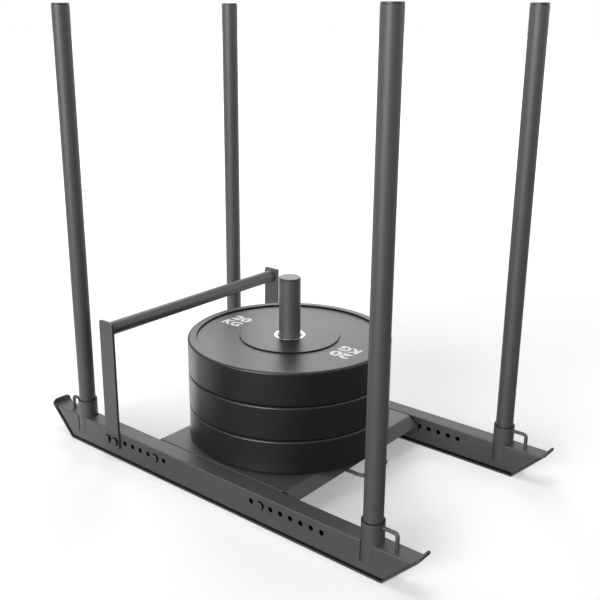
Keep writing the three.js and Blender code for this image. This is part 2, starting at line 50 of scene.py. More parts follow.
# %% [markdown]
# ## The camera
# The photograph was taken from the front right of the sled, at the height of the poles' tops, and cut
# from a larger frame. The camera is tilted down as the real one was, so that the poles lean apart,
# and a small lens shift gives the crop. Its place, turn and lens come from fitting the corners of the
# sled to the photograph.

# %% Camera
CAMERA_PLACE = Vector((1.2061, -1.4624, 0.9967))
CAMERA_AZIMUTH = math.radians(40.389)
CAMERA_PITCH = math.radians(17.787)
CAMERA_LENS = 54.115
CAMERA_SHIFT_X = 0.0388
CAMERA_SHIFT_Y = -0.0072


def add_object(name, data):
    thing = bpy.data.objects.new(name, data)
    bpy.context.scene.collection.objects.link(thing)
    return thing


def make_camera():
    data = bpy.data.cameras.new("camera")
    data.lens = CAMERA_LENS
    data.shift_x = CAMERA_SHIFT_X
    data.shift_y = CAMERA_SHIFT_Y
    camera = add_object("camera", data)
    camera.location = CAMERA_PLACE
    camera.rotation_euler = (math.pi / 2 - CAMERA_PITCH, 0, CAMERA_AZIMUTH)
    bpy.context.scene.camera = camera


make_camera()
print("camera looks down by", round(math.degrees(CAMERA_PITCH), 1), "degrees")

# %% [markdown]
# ## Outlines
# Nearly every piece is a flat outline, turned round an axis or drawn out to a length. Real steel and
# rubber have no sharp corners. A Bevel modifier would round every corner alike, so a helper rounds
# each corner of an outline by its own radius instead.

# %% Rounded outlines
ARC_STEP = math.radians(9)


def rounded(corners):
    """A closed outline from corners of (x, y, radius), each replaced by an arc."""
    points = []
    for number, (x, y, radius) in enumerate(corners):
        here = Vector((x, y))
        if radius == 0:
            points.append(here)
            continue
        back = (Vector(corners[number - 1][:2]) - here).normalized()
        ahead = (Vector(corners[(number + 1) % len(corners)][:2]) - here).normalized()
        half = back.angle(ahead) / 2
        centre = here + (back + ahead).normalized() * radius / math.sin(half)
        spoke = here + back * radius / math.tan(half) - centre
        end = here + ahead * radius / math.tan(half) - centre
        turn = math.atan2(spoke.x * end.y - spoke.y * end.x, spoke.dot(end))
        steps = max(2, math.ceil(abs(turn) / ARC_STEP))
        for step in range(steps + 1):
            angle = turn * step / steps
            cosine, sine = math.cos(angle), math.sin(angle)
            arm = Vector((spoke.x * cosine - spoke.y * sine, spoke.x * sine + spoke.y * cosine))
            points.append(centre + arm)
    return points


def rounded_box(width, height, radius, middle=0):
    """A rectangle with round corners, centred on (0, middle)."""
    x, low, high = width / 2, middle - height / 2, middle + height / 2
    return rounded([(x, low, radius), (x, high, radius), (-x, high, radius), (-x, low, radius)])


print("a right-angle corner gets", math.ceil(math.pi / 2 / ARC_STEP) + 1, "points")

# %% [markdown]
# Skids, deck and packing are bent from flat strip. A bend keeps the thickness, so its inner face has
# the smaller radius. The strip is drawn from the path of its outer face, with both radii in place.

# %% Bent strips


def bent_strip(path, thickness, radius):
    """The outline of a strip whose outer face follows the path and whose thickness lies to its left."""
    points = [Vector(point) for point in path]
    heads = [(b - a).normalized() for a, b in zip(points, points[1:])]
    sides = [Vector((-head.y, head.x)) for head in heads]
    inner = [points[0] + sides[0] * thickness]
    for point, before, after in zip(points[1:-1], sides, sides[1:]):
        inner.append(point + (before + after) * thickness / (1 + before.dot(after)))
    inner.append(points[-1] + sides[-1] * thickness)
    outline = [(*point, radius) for point in points]
    returning = [(*point, radius - thickness) for point in reversed(inner)]
    for row in (outline, returning):
        row[0] = (*row[0][:2], 0)
        row[-1] = (*row[-1][:2], 0)
    return rounded(outline + returning)


print("a bent strip keeps its thickness round the bends")

# %% [markdown]
# ## Meshes from outlines
# The faces are built in bmesh, which welds points that meet and turns every face outward. Large flat
# faces beside small round edges would shade like a pillow, so every mesh gets sharp edges by angle
# and normals weighted by face area.

# %% Finish a mesh
SMOOTH_ANGLE = math.radians(32)
WELD_DISTANCE = MM / 1000


def finish_mesh(name, work):
    """Turns bmesh work into a named object with smooth shading and clean normals."""
    bmesh.ops.remove_doubles(work, verts=work.verts, dist=WELD_DISTANCE)
    bmesh.ops.recalc_face_normals(work, faces=work.faces)
    mesh = bpy.data.meshes.new(name)
    work.to_mesh(mesh)
    work.free()
    return add_object(name, mesh)


def shade(piece):
    for face in piece.data.polygons:
        face.use_smooth = True
    piece.data.set_sharp_from_angle(angle=SMOOTH_ANGLE)
    weigh = piece.modifiers.new("even normals", "WEIGHTED_NORMAL")
    weigh.keep_sharp = True
    return piece


print("edges stay sharp above", round(math.degrees(SMOOTH_ANGLE)), "degrees")

# %% [markdown]
# Poles, sockets, caps, bushings, plates and hubs are round. A Screw modifier could turn their
# profiles too. Building the rings directly keeps the number of segments, and the single point where
# a profile meets the axis, in plain sight.

# %% Lathe
FINE = 96


def turned(name, profile, segments=FINE):
    """A ring or disc turned about Z from a closed profile of (radius, height) points."""
    work = bmesh.new()
    rings = []
    for radius, height in profile:
        ring = []
        for number in range(segments if radius > 0 else 1):
            angle = 2 * math.pi * number / segments
            spot = (radius * math.cos(angle), radius * math.sin(angle), height)
            ring.append(work.verts.new(spot))
        rings.append(ring)
    for lower, upper in zip(rings, rings[1:] + rings[:1]):
        for number in range(segments):
            following = number + 1
            corners = [
                lower[number % len(lower)],
                lower[following % len(lower)],
                upper[following % len(upper)],
                upper[number % len(upper)],
            ]
            corners = list(dict.fromkeys(corners))
            if len(corners) > 2:
                work.faces.new(corners)
    return finish_mesh(name, work)


print("a turned piece has", FINE, "segments")

# %% [markdown]
# Flat bar, rectangular tube, sheet and hexagons have one section all along. A prism draws the section
# out along an axis and closes each end with a single face, which booleans handle well.

# %% Prism


def prism(name, outline, length, along):
    """An outline drawn out along one axis and centred there. Its x and y are the other two axes."""
    work = bmesh.new()
    first, second = [axis for axis in range(3) if axis != "XYZ".index(along)]
    caps = []
    for end in (-length / 2, length / 2):
        cap = []
        for point in outline:
            place = [end, end, end]
            place[first], place[second] = point
            cap.append(work.verts.new(place))
        caps.append(cap)
        work.faces.new(cap)
    count = len(outline)
    for number in range(count):
        following = (number + 1) % count
        work.faces.new([caps[0][number], caps[0][following], caps[1][following], caps[1][number]])
    return finish_mesh(name, work)


print("prisms run along X, Y or Z")

# %% [markdown]
# ## Cutting and softening
# Drilled holes, seats and notches are booleans, as on the drawing of the real part. A narrow bevel
# afterwards breaks each edge by a few tenths of a millimetre. That is how far a powder coat rounds
# it, and it makes the thin light lines along the tubes.

# %% Booleans and edges
COAT_EDGE = 0.45 * MM
EDGE_ANGLE = math.radians(28)


def bake_modifiers(piece):
    """Applies the modifiers of a piece, so that what follows sees the result."""
    graph = bpy.context.evaluated_depsgraph_get()
    mesh = bpy.data.meshes.new_from_object(piece.evaluated_get(graph))
    piece.modifiers.clear()
    piece.data = mesh
    return piece


def combine(piece, tools, operation="DIFFERENCE"):
    for tool in tools:
        step = piece.modifiers.new("boolean", "BOOLEAN")
        step.operation = operation
        step.solver = "EXACT"
        step.object = tool
    bake_modifiers(piece)
    for tool in tools:
        bpy.data.objects.remove(tool)
    return piece


def soften(piece, width=COAT_EDGE, segments=2):
    bevel = piece.modifiers.new("coated edges", "BEVEL")
    bevel.width = width
    bevel.segments = segments
    bevel.limit_method = "ANGLE"
    bevel.angle_limit = EDGE_ANGLE
    bevel.use_clamp_overlap = False
    return bake_modifiers(piece)


print("edges are rounded by", COAT_EDGE / MM, "mm")

# %% [markdown]
# Pieces are moved by moving their meshes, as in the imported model, so all origins stay together. The
# grain of the finishes is laid out from the origin, and so it doesn't repeat from piece to piece.

# %% Move and drill
ROUND = 40


def move(piece, *offset):
    """Moves a piece by moving its mesh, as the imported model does."""
    for vertex in piece.data.vertices:
        vertex.co += Vector(offset)
    return piece


def circle(radius):
    spokes = [2 * math.pi * number / ROUND for number in range(ROUND)]
    return [(radius * math.cos(angle), radius * math.sin(angle)) for angle in spokes]


def drill(radius, length, x, y, z):
    """A round cutter along Y."""
    return move(prism("drill", circle(radius), length, "Y"), x, y, z)


print("a drilled hole has", ROUND, "sides")

# %% [markdown]
# ## Finishes
# Each finish is a procedural node material, so nothing has to be unwrapped and a few numbers change
# it. What several finishes share is a node group. The helpers below build groups and the small nodes
# inside them.

# %% Node helpers


def make_group(name, inputs, outputs):
    """A shader node group with value sockets. Returns the tree with its input and output nodes."""
    tree = bpy.data.node_groups.new(name, "ShaderNodeTree")
    for socket_name, default in inputs.items():
        socket = tree.interface.new_socket(socket_name, in_out="INPUT", socket_type="NodeSocketFloat")
        socket.default_value = default
    for socket_name in outputs:
        tree.interface.new_socket(socket_name, in_out="OUTPUT", socket_type="NodeSocketFloat")
    entry = tree.nodes.new("NodeGroupInput")
    leave = tree.nodes.new("NodeGroupOutput")
    return tree, entry, leave


def math_node(tree, operation, first, second):
    """A Math node. Each operand is a socket or a number."""
    node = tree.nodes.new("ShaderNodeMath")
    node.operation = operation
    for socket, value in zip(node.inputs, (first, second)):
        if isinstance(value, bpy.types.NodeSocket):
            tree.links.new(value, socket)
        else:
            socket.default_value = value
    return node.outputs[0]


def noise_node(tree, vector, scale, detail):
    node = tree.nodes.new("ShaderNodeTexNoise")
    node.inputs["Detail"].default_value = detail
    tree.links.new(vector, node.inputs["Vector"])
    if isinstance(scale, bpy.types.NodeSocket):
        tree.links.new(scale, node.inputs["Scale"])
    else:
        node.inputs["Scale"].default_value = scale
    return node.outputs[0]


print("node helpers ready")

# %% [markdown]
# Powder coat, rubber and plastic all have a fine grain, which tilts the light a little, and no large
# face of them is quite even. One group gives the grain as a height, and a factor about 1 with both
# the speckle of the grain and a slow mottling.

# %% Grain and mottling
GRAIN_DETAIL = 2
MOTTLE_DETAIL = 4


def make_surface_group():
    """Fine grain as a height, and speckle with a slow mottling as a factor about 1."""
    inputs = {"Grains per metre": 900, "Speckle": 0.05, "Mottles per metre": 14, "Mottling": 0.1}
    tree, entry, leave = make_group("grain and mottling", inputs, ["Height", "Factor"])
    place = tree.nodes.new("ShaderNodeTexCoord").outputs["Object"]
    grain = noise_node(tree, place, entry.outputs["Grains per metre"], GRAIN_DETAIL)
    tree.links.new(grain, leave.inputs["Height"])
    slow = noise_node(tree, place, entry.outputs["Mottles per metre"], MOTTLE_DETAIL)
    factor = 1
    for noise, strength in ((grain, "Speckle"), (slow, "Mottling")):
        centred = math_node(tree, "SUBTRACT", noise, 0.5)
        swing = math_node(tree, "MULTIPLY", centred, entry.outputs[strength])
        doubled = math_node(tree, "MULTIPLY", swing, 2)
        factor = math_node(tree, "ADD", doubled, factor)
    tree.links.new(factor, leave.inputs["Factor"])
    return tree


SURFACE_GROUP = make_surface_group()
print("group:", SURFACE_GROUP.name)

# %% [markdown]
# The hubs are turned steel, whose fine rings spread the highlights. A sine of the distance from the
# axis makes the rings, and a little noise keeps them from being perfect.

# %% Turning marks
WAVER_SCALE = 300


def make_turning_group():
    """Rings about Z, as a lathe leaves them, as a height."""
    inputs = {"Rings per metre": 1800, "Waver": 0.6}
    tree, entry, leave = make_group("turning marks", inputs, ["Height"])
    place = tree.nodes.new("ShaderNodeTexCoord").outputs["Object"]
    split = tree.nodes.new("ShaderNodeSeparateXYZ")
    tree.links.new(place, split.inputs[0])
    x_squared = math_node(tree, "MULTIPLY", split.outputs["X"], split.outputs["X"])
    y_squared = math_node(tree, "MULTIPLY", split.outputs["Y"], split.outputs["Y"])
    radius = math_node(tree, "SQRT", math_node(tree, "ADD", x_squared, y_squared), 0)
    reach = math_node(tree, "ADD", radius, split.outputs["Z"])
    turns = math_node(tree, "MULTIPLY", reach, entry.outputs["Rings per metre"])
    noise = noise_node(tree, place, WAVER_SCALE, GRAIN_DETAIL)
    waver = math_node(tree, "MULTIPLY", noise, entry.outputs["Waver"])
    shifted = math_node(tree, "ADD", turns, waver)
    wave = math_node(tree, "SINE", math_node(tree, "MULTIPLY", shifted, 2 * math.pi), 0)
    tree.links.new(wave, leave.inputs["Height"])
    return tree


TURNING_GROUP = make_turning_group()
print("node groups:", [group.name for group in bpy.data.node_groups])

# %% [markdown]
# A material is one Principled shader. The mottling changes its colour and its roughness together, and
# the grain or the turning marks drive its bump.

# %% A material


def make_material(
    name, colour, roughness, metallic=0, specular=0.5, surface=None, depth=0.0, marks=None
):
    """A Principled material whose colour and roughness follow the mottling and whose bump is grain."""
    material = bpy.data.materials.new(name)
    material.use_nodes = True
    tree = material.node_tree
    shader = tree.nodes["Principled BSDF"]
    shader.inputs["Metallic"].default_value = metallic
    shader.inputs["Specular IOR Level"].default_value = specular
    group = tree.nodes.new("ShaderNodeGroup")
    group.node_tree = SURFACE_GROUP
    for socket_name, value in (surface or {}).items():
        group.inputs[socket_name].default_value = value
    tint = tree.nodes.new("ShaderNodeVectorMath")
    tint.operation = "SCALE"
    tint.inputs[0].default_value = colour
    tree.links.new(group.outputs["Factor"], tint.inputs["Scale"])
    tree.links.new(tint.outputs[0], shader.inputs["Base Color"])
    rough = math_node(tree, "MULTIPLY", group.outputs["Factor"], roughness)
    tree.links.new(rough, shader.inputs["Roughness"])
    bump = tree.nodes.new("ShaderNodeBump")
    bump.inputs["Distance"].default_value = depth
    height = group.outputs["Height"]
    if marks:
        turning = tree.nodes.new("ShaderNodeGroup")
        turning.node_tree = TURNING_GROUP
        turning.inputs["Rings per metre"].default_value = marks
        height = turning.outputs["Height"]
    tree.links.new(height, bump.inputs["Height"])
    tree.links.new(bump.outputs[0], shader.inputs["Normal"])
    return material


print("a material takes its colour, roughness, grain and marks")

# %% [markdown]
# The sled has a matte charcoal powder coat with a fine orange-peel grain. The plates are satin black
# rubber that turns pale where the eye grazes it. Hubs are bare turned steel, the bolts black zinc,
# and the caps and bushings black plastic. The packing is nearly black rubber, and the same material
# also paints shade on narrow faces and hollows that the photograph shows as black lines.

# %% The sled's materials
POWDER = make_material(
    "powder coat", (0.05, 0.0502, 0.0508), 0.5, specular=0.57,
    surface={"Grains per metre": 420, "Speckle": 0.35, "Mottling": 0.1}, depth=0.05 * MM,
)
RUBBER = make_material(
    "plate rubber", (0.0057, 0.0057, 0.0058), 0.38, specular=0.43,
    surface={"Grains per metre": 1400, "Mottles per metre": 9, "Mottling": 0.1}, depth=0.03 * MM,
)
STEEL = make_material(
    "hub steel", (0.62, 0.62, 0.61), 0.14, metallic=1,
    surface={"Mottles per metre": 60, "Mottling": 0.15}, depth=0.004 * MM, marks=1500,
)
PLASTIC = make_material(
    "cap plastic", (0.03, 0.03, 0.031), 0.38,
    surface={"Grains per metre": 1800, "Mottling": 0.06}, depth=0.02 * MM,
)
ZINC = make_material(
    "black zinc", (0.055, 0.055, 0.057), 0.45, metallic=0.1,
    surface={"Grains per metre": 2500, "Mottles per metre": 120, "Mottling": 0.2}, depth=0.01 * MM,
)
BUSHING = make_material(
    "bushing plastic", (0.006, 0.006, 0.006), 0.6, specular=0.2,
    surface={"Grains per metre": 1800, "Mottling": 0.06}, depth=0.02 * MM,
)
# The packing's material doubles as painted shade on faces of other pieces.
PACKING_AND_SHADE = make_material(
    "packing rubber and painted shade", (0.004, 0.004, 0.004), 0.8, specular=0.1,
    surface={"Grains per metre": 700, "Mottling": 0.2}, depth=0.1 * MM,
)
PAINT = make_material(
    "mark paint", (0.78, 0.78, 0.77), 0.55,
    surface={"Grains per metre": 1200, "Mottling": 0.05}, depth=0.02 * MM,
)
print("materials:", len(bpy.data.materials))

# %% [markdown]
# ## Dressing a piece
# Every fine piece stands for the imported node of the same place, rides on its body, and takes one of
# the finishes above. Where a few faces of a piece lie in shade, a test picks them out for a second,
# dark material as painted shade.


def dress(piece, body, material, *nodes):
    piece.data.materials.clear()
    piece.data.materials.append(material)
    shade(piece)
    if nodes:
        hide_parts(*nodes)
    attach(piece, body)
    return piece


def paint_shade(piece, material, chosen):
    """Paints shade with a second material on the faces that a test of centre and normal picks out."""
    piece.data.materials.append(material)
    for face in piece.data.polygons:
        if chosen(face.center, face.normal):
            face.material_index = 1


# %% [markdown]
# ## Runners
# Each runner is a 60 by 40 tube whose ends are mitred onto the ramps of its skid. The blank is drawn
# out too long, and its end points are then set on the two leaning planes. Cutting them with booleans
# would do as well, but this leaves no scraps.

# %% Runner blank
RUNNER_Y = 256 * MM
RUNNER_WIDTH = 40 * MM
RUNNER_HEIGHT = 60 * MM
RUNNER_WALL = 3 * MM
RUNNER_CORNER = 2.2 * MM
RUNNER_BOTTOM = 9.8 * MM
RUNNER_TOP = RUNNER_BOTTOM + RUNNER_HEIGHT
SKID_THICKNESS = 4 * MM
SOLE_FRONT = 445 * MM
SOLE_REAR = 454.5 * MM
SKID_TIP = 520 * MM
FRONT_GAP = 0.8 * MM
REAR_SETBACK = 5 * MM


def mitre(piece):
    """Leans both ends of a tube at 45 degrees, close to the front ramp and well off the rear one."""
    front = SOLE_FRONT - (SKID_THICKNESS + FRONT_GAP) * math.sqrt(2)
    rear = SOLE_REAR - RUNNER_BOTTOM * math.sqrt(2) - REAR_SETBACK
    for vertex in piece.data.vertices:
        if vertex.co.x > 0:
            vertex.co.x = front + vertex.co.z
        else:
            vertex.co.x = -rear - vertex.co.z


def make_blank(name):
    middle = RUNNER_BOTTOM + RUNNER_HEIGHT / 2
    outside = rounded_box(RUNNER_WIDTH, RUNNER_HEIGHT, RUNNER_CORNER, middle)
    tube = prism(name, outside, 2 * SKID_TIP, "X")
    mitre(tube)
    hollow_width = RUNNER_WIDTH - 2 * RUNNER_WALL
    hollow_height = RUNNER_HEIGHT - 2 * RUNNER_WALL
    hollow = rounded_box(hollow_width, hollow_height, RUNNER_CORNER / 2, middle)
    return combine(tube, [prism("hollow", hollow, 3 * SKID_TIP, "X")])


print("runners run from z =", RUNNER_BOTTOM, "to", round(RUNNER_TOP, 4))

# %% [markdown]
# Eight bolt holes in a row pass through both walls at each end of the deck. Each socket stands in a
# seat cut through the top wall and into both side walls, so it stands a little proud of the sides.
# All round cutters of a runner are one object, because one boolean is quicker and cleaner than
# eighteen.

# %% Holes and seats
SIDES = {"left": 1, "right": -1}
ENDS = {"front": 1, "rear": -1}
SEAM = 0.3 * MM
OVERRUN = 5 * MM
HOLE_RADIUS = 5.6 * MM
HOLE_HEIGHT = 49 * MM
HOLE_FIRST = 128.7 * MM
HOLE_PITCH = 25.5 * MM
HOLE_COUNT = 8
SOCKET_X = 410 * MM
SOCKET_RADIUS = 22.5 * MM
SOCKET_FOOT = 27.8 * MM
WINDOW_REAR = 14 * MM
WINDOW_FRONT = 12.6 * MM


def hole_x(number):
    return HOLE_FIRST + number * HOLE_PITCH


def join_pieces(pieces):
    """Several meshes as one object, without joining their faces."""
    work = bmesh.new()
    for piece in pieces:
        work.from_mesh(piece.data)
    name = pieces[0].name
    for piece in pieces:
        bpy.data.objects.remove(piece)
    mesh = bpy.data.meshes.new(name)
    work.to_mesh(mesh)
    work.free()
    return add_object(name, mesh)


def make_runner(name, y):
    tube = make_blank(name)
    drills, windows = [], []
    for way in ENDS.values():
        for number in range(HOLE_COUNT):
            length = RUNNER_WIDTH + 2 * OVERRUN
            drills.append(drill(HOLE_RADIUS, length, way * hole_x(number), 0, HOLE_HEIGHT))
        low, high = SOCKET_FOOT - SEAM, RUNNER_TOP + OVERRUN
        radius = SOCKET_RADIUS + SEAM
        seat = turned("seat", [(0, low), (radius, low), (radius, high), (0, high)])
        drills.append(move(seat, way * SOCKET_X, 0, 0))
        for wall in SIDES.values():
            window = rounded_box(WINDOW_REAR + WINDOW_FRONT, high - low, 0, (low + high) / 2)
            cut = prism("window", window, RUNNER_WALL, "Y")
            window_x = way * SOCKET_X + (WINDOW_FRONT - WINDOW_REAR) / 2
            windows.append(move(cut, window_x, wall * (RUNNER_WIDTH - RUNNER_WALL) / 2, 0))
    combine(tube, [join_pieces(drills), join_pieces(windows)])
    soften(tube)
    return move(tube, 0, y, 0)


print("bolt holes at x =", [round(hole_x(number), 4) for number in range(HOLE_COUNT)])

# %% [markdown]
# Little light reaches the bores and the hollow of the tube. The photograph shows them black, so their
# faces get the dark material as painted shade.

# %% Both runners


def shaded_runner_inside(centre, normal):
    """The faces of the bores and the hollow, which get painted shade, but not the rounded edges on the
    outside.
    """
    across = abs(abs(centre.y) - RUNNER_Y)
    deep = RUNNER_WALL / 5
    level = RUNNER_BOTTOM + deep < centre.z < RUNNER_TOP - deep
    return across < RUNNER_WIDTH / 2 - deep and level


for side, sign in SIDES.items():
    runner = make_runner(f"{side}_runner_tube", sign * RUNNER_Y)
    dress(runner, "frame", POWDER, f"{side}_runner")
    paint_shade(runner, PACKING_AND_SHADE, shaded_runner_inside)

# %% [markdown]
# ## Skids and packing
# A skid is one flat bar, bent up at both ends into a ramp and an upright lip. The rear ramp is a
# little wider on its inner side, and its lip has large round corners. An envelope of two widths trims
# the bent bar, so both ends come out of one boolean.

# %% Skids
SKID_BEND = 6 * MM
SKID_REAR_TIP = 522.5 * MM
LIP_TOP = 82.5 * MM
FRONT_LIP_RADIUS = 4 * MM
REAR_LIP_RADIUS = 12 * MM
REAR_FLARE = 10 * MM
REAR_DROP = 1.5 * MM
FLARE_END = 462 * MM


def lip_envelope(width, top, radius, middle, low, high):
    """The space from one x to another that a skid of this width and lip corner may fill."""
    half = width / 2
    outline = rounded([
        (half, -OVERRUN, 0),
        (half, top, radius),
        (-half, top, radius),
        (-half, -OVERRUN, 0),
    ])
    return move(prism("envelope", outline, high - low, "X"), (low + high) / 2, middle, 0)


def make_skid(name, y):
    path = [
        (-SKID_REAR_TIP, LIP_TOP - REAR_DROP),
        (-SKID_REAR_TIP, SKID_REAR_TIP - SOLE_REAR),
        (-SOLE_REAR, 0),
        (SOLE_FRONT, 0),
        (SKID_TIP, SKID_TIP - SOLE_FRONT),
        (SKID_TIP, LIP_TOP),
    ]
    bar = prism(name, bent_strip(path, SKID_THICKNESS, SKID_BEND), 2 * RUNNER_WIDTH, "Y")
    middle = -math.copysign(REAR_FLARE / 2, y)
    body = lip_envelope(RUNNER_WIDTH, LIP_TOP, FRONT_LIP_RADIUS, 0, -FLARE_END - SEAM, 2 * SKID_TIP)
    width = RUNNER_WIDTH + REAR_FLARE
    top = LIP_TOP - REAR_DROP
    flare = lip_envelope(width, top, REAR_LIP_RADIUS, middle, -2 * SKID_TIP, -FLARE_END)
    combine(body, [flare], "UNION")
    combine(bar, [body], "INTERSECT")
    soften(bar)
    return move(bar, 0, y, 0)


for side, sign in SIDES.items():
    skid = make_skid(f"{side}_skid_bar", sign * RUNNER_Y)
    dress(skid, "frame", POWDER, f"{side}_skid")
print("skids run from x =", -SKID_REAR_TIP, "to", SKID_TIP)

# %% [markdown]
# A dark strip of packing fills the slot between skid and runner. It is bent like the skid, and lies a
# little behind the runner's sides.

# %% Packing
RAMP_ANGLE = math.radians(45)
PACKING_SETBACK = 1.2 * MM


def make_packing(name, y):
    """A strip on the skid's inner face, under the runner and up the rear ramp."""
    foot = SKID_THICKNESS + SEAM
    corner = -SOLE_REAR + foot * math.tan(RAMP_ANGLE / 2)
    rise = RUNNER_HEIGHT
    path = [(corner - rise, foot + rise), (corner, foot), (SOLE_FRONT - foot, foot)]
    thickness = RUNNER_BOTTOM - SEAM - foot
    strip = bent_strip(path, thickness, SKID_BEND)
    return move(prism(name, strip, RUNNER_WIDTH - 2 * PACKING_SETBACK, "Y"), 0, y, 0)


for side, sign in SIDES.items():
    strip = make_packing(f"{side}_packing_strip", sign * RUNNER_Y)
    dress(strip, "frame", PACKING_AND_SHADE, f"{side}_skid_packer")
print("packing lies", PACKING_SETBACK, "m behind the runner's sides")

# %% [markdown]
# ## Sockets, bushings, poles and caps
# Socket, pole and horn are plain round tube, and the poles and the horn are closed by flat plastic
# caps, whose plugs sit inside the tube. Each is a single turned profile.

# %% Tubes and caps
SMALL = 0.4 * MM
CAP_HEAD = 4 * MM
CAP_CHAMFER = 1.2 * MM
CAP_PLUG = 15 * MM


def make_tube(name, radius, wall, low, high):
    corners = [(radius - wall, low), (radius, low), (radius, high), (radius - wall, high)]
    profile = [(*corner, SMALL) for corner in corners]
    return turned(name, rounded(profile))


def make_cap(name, radius, wall, top):
    plug, head = top - CAP_HEAD - CAP_PLUG, top - CAP_HEAD
    profile = [
        (0, plug, 0),
        (radius - wall - SEAM, plug, SMALL),
        (radius - wall - SEAM, head, 0),
        (radius, head, SMALL),
        (radius, top - CAP_CHAMFER, CAP_CHAMFER / 2),
        (radius - CAP_CHAMFER, top, CAP_CHAMFER / 2),
        (0, top, 0),
    ]
    return turned(name, rounded(profile))


print("a cap is", CAP_HEAD, "m thick")

# %% [markdown]
# A pole stands loose in its socket. A black bushing lines the socket's mouth and shows as a thin
# ring: a sleeve inside, and a flange on the socket's rim.

# %% Bushings
SOCKET_WALL = 2 * MM
SOCKET_TOP = 109.5 * MM
POLE_RADIUS = 19 * MM
BUSHING_FLANGE = 1.2 * MM
BUSHING_DEPTH = 22 * MM


def make_bushing(name):
    bore = POLE_RADIUS + SEAM
    sleeve = SOCKET_RADIUS - SOCKET_WALL - SEAM
    seat, top = SOCKET_TOP + SEAM, SOCKET_TOP + SEAM + BUSHING_FLANGE
    profile = [
        (bore, SOCKET_TOP - BUSHING_DEPTH, 0),
        (sleeve, SOCKET_TOP - BUSHING_DEPTH, 0),
        (sleeve, seat, 0),
        (SOCKET_RADIUS, seat, SMALL / 2),
        (SOCKET_RADIUS, top, SMALL),
        (bore, top, SMALL),
    ]
    return turned(name, rounded(profile))


print("bushings are", BUSHING_DEPTH, "m deep")

# %% [markdown]
# All four corners are alike. The poles lift out, so pole and cap ride on the pole's own body, and the
# socket and its bushing stay with the frame.

# %% The four corners
POLE_WALL = 2.5 * MM
POLE_TOP = 1004 * MM

for side, sign in SIDES.items():
    for end, way in ENDS.items():
        corner = f"{side}_{end}"
        spot = (way * SOCKET_X, sign * RUNNER_Y, 0)
        name = f"{corner}_socket_sleeve"
        sleeve = make_tube(name, SOCKET_RADIUS, SOCKET_WALL, SOCKET_FOOT, SOCKET_TOP)
        dress(move(sleeve, *spot), "frame", POWDER, f"{corner}_socket")
        ring = make_bushing(f"{corner}_bushing_ring")
        dress(move(ring, *spot), "frame", BUSHING, f"{corner}_bushing")
        tube_top = POLE_TOP - CAP_HEAD - SEAM
        tube = make_tube(f"{corner}_pole_tube", POLE_RADIUS, POLE_WALL, SOCKET_FOOT, tube_top)
        dress(move(tube, *spot), f"{corner}_pole", POWDER, f"{corner}_pole")
        cap = make_cap(f"{corner}_cap", POLE_RADIUS, POLE_WALL, POLE_TOP)
        dress(move(cap, *spot), f"{corner}_pole", PLASTIC, f"{corner}_pole_cap")
print("poles stand", POLE_TOP, "m high")

# %% [markdown]
# ## Bent rods
# The harness loops and the tow loop are round rod with true bends. A curve with a round bevel makes
# each one in a single sweep, and its path is the same rounded outline that the flat pieces use.

# %% Rods
ROD_RADIUS = 4 * MM
ROD_FINE = 8


def mesh_from(name, data):
    """The mesh of a curve or a text, as a piece of its own."""
    holder = add_object(name, data)
    graph = bpy.context.evaluated_depsgraph_get()
    mesh = bpy.data.meshes.new_from_object(holder.evaluated_get(graph))
    bpy.data.objects.remove(holder)
    return add_object(name, mesh)


def sweep(name, points):
    """A rod drawn along points, as a mesh."""
    curve = bpy.data.curves.new(name, "CURVE")
    curve.dimensions = "3D"
    curve.bevel_depth = ROD_RADIUS
    curve.bevel_resolution = ROD_FINE
    curve.use_fill_caps = True
    spline = curve.splines.new("POLY")
    spline.points.add(len(points) - 1)
    for knot, point in zip(spline.points, points):
        knot.co = (*point, 1)
    return mesh_from(name, curve)


print("rods are", 2 * ROD_RADIUS, "m thick")

# %% [markdown]
# A harness loop stands between each socket and the runner, on the side toward the sled's end, for the
# hook of a strap. It is one bend: out from the socket and down to the runner.

# %% Harness loops
LOOP_BEND = 7 * MM
LOOP_REACH = 53 * MM
LOOP_RISE = 31.5 * MM

for side, sign in SIDES.items():
    for end, way in ENDS.items():
        corner = f"{side}_{end}"
        x, y = way * SOCKET_X, sign * RUNNER_Y
        flat = rounded([
            (SOCKET_RADIUS + SEAM, LOOP_RISE, 0),
            (LOOP_REACH, LOOP_RISE, LOOP_BEND),
            (LOOP_REACH, SEAM, 0),
        ])
        points = [(x + way * point.x, y, RUNNER_TOP + point.y) for point in flat]
        loop = sweep(f"{corner}_loop_rod", points)
        dress(loop, "frame", POWDER, f"{corner}_harness_loop")
print("loops stand", LOOP_RISE, "m above the runners")

# %% [markdown]
# ## Deck, tow loop and horn
# The deck is one folded sheet, with an apron at each end and a flange along each side. Two bent
# strips that cross make it, one with the aprons and one with the flanges, and two plain sheets carry
# the flanges on beside the aprons. A slot separates each apron from the flanges, whose cut ends get
# the dark material as painted shade. Holes and notches are cut last, through the whole sheet.

# %% Deck
DECK_THICKNESS = 3 * MM
DECK_BEND = 3.2 * MM
DECK_EDGE = 0.3 * MM
DECK_HALF = 235.7 * MM
FOLD_X = 181 * MM
APRON_EDGE_X = 204 * MM
APRON_FOOT = 52.3 * MM
APRON_RELIEF = 3 * MM
FLANGE_FOOT = 33.8 * MM
FLANGE_END_LEAN = 0.3
DECK_HOLE = 1
TOW_HALF = 46 * MM
TOW_BAR_X = 244 * MM
TOW_TAIL_X = 190 * MM
TOW_HEIGHT = 48 * MM


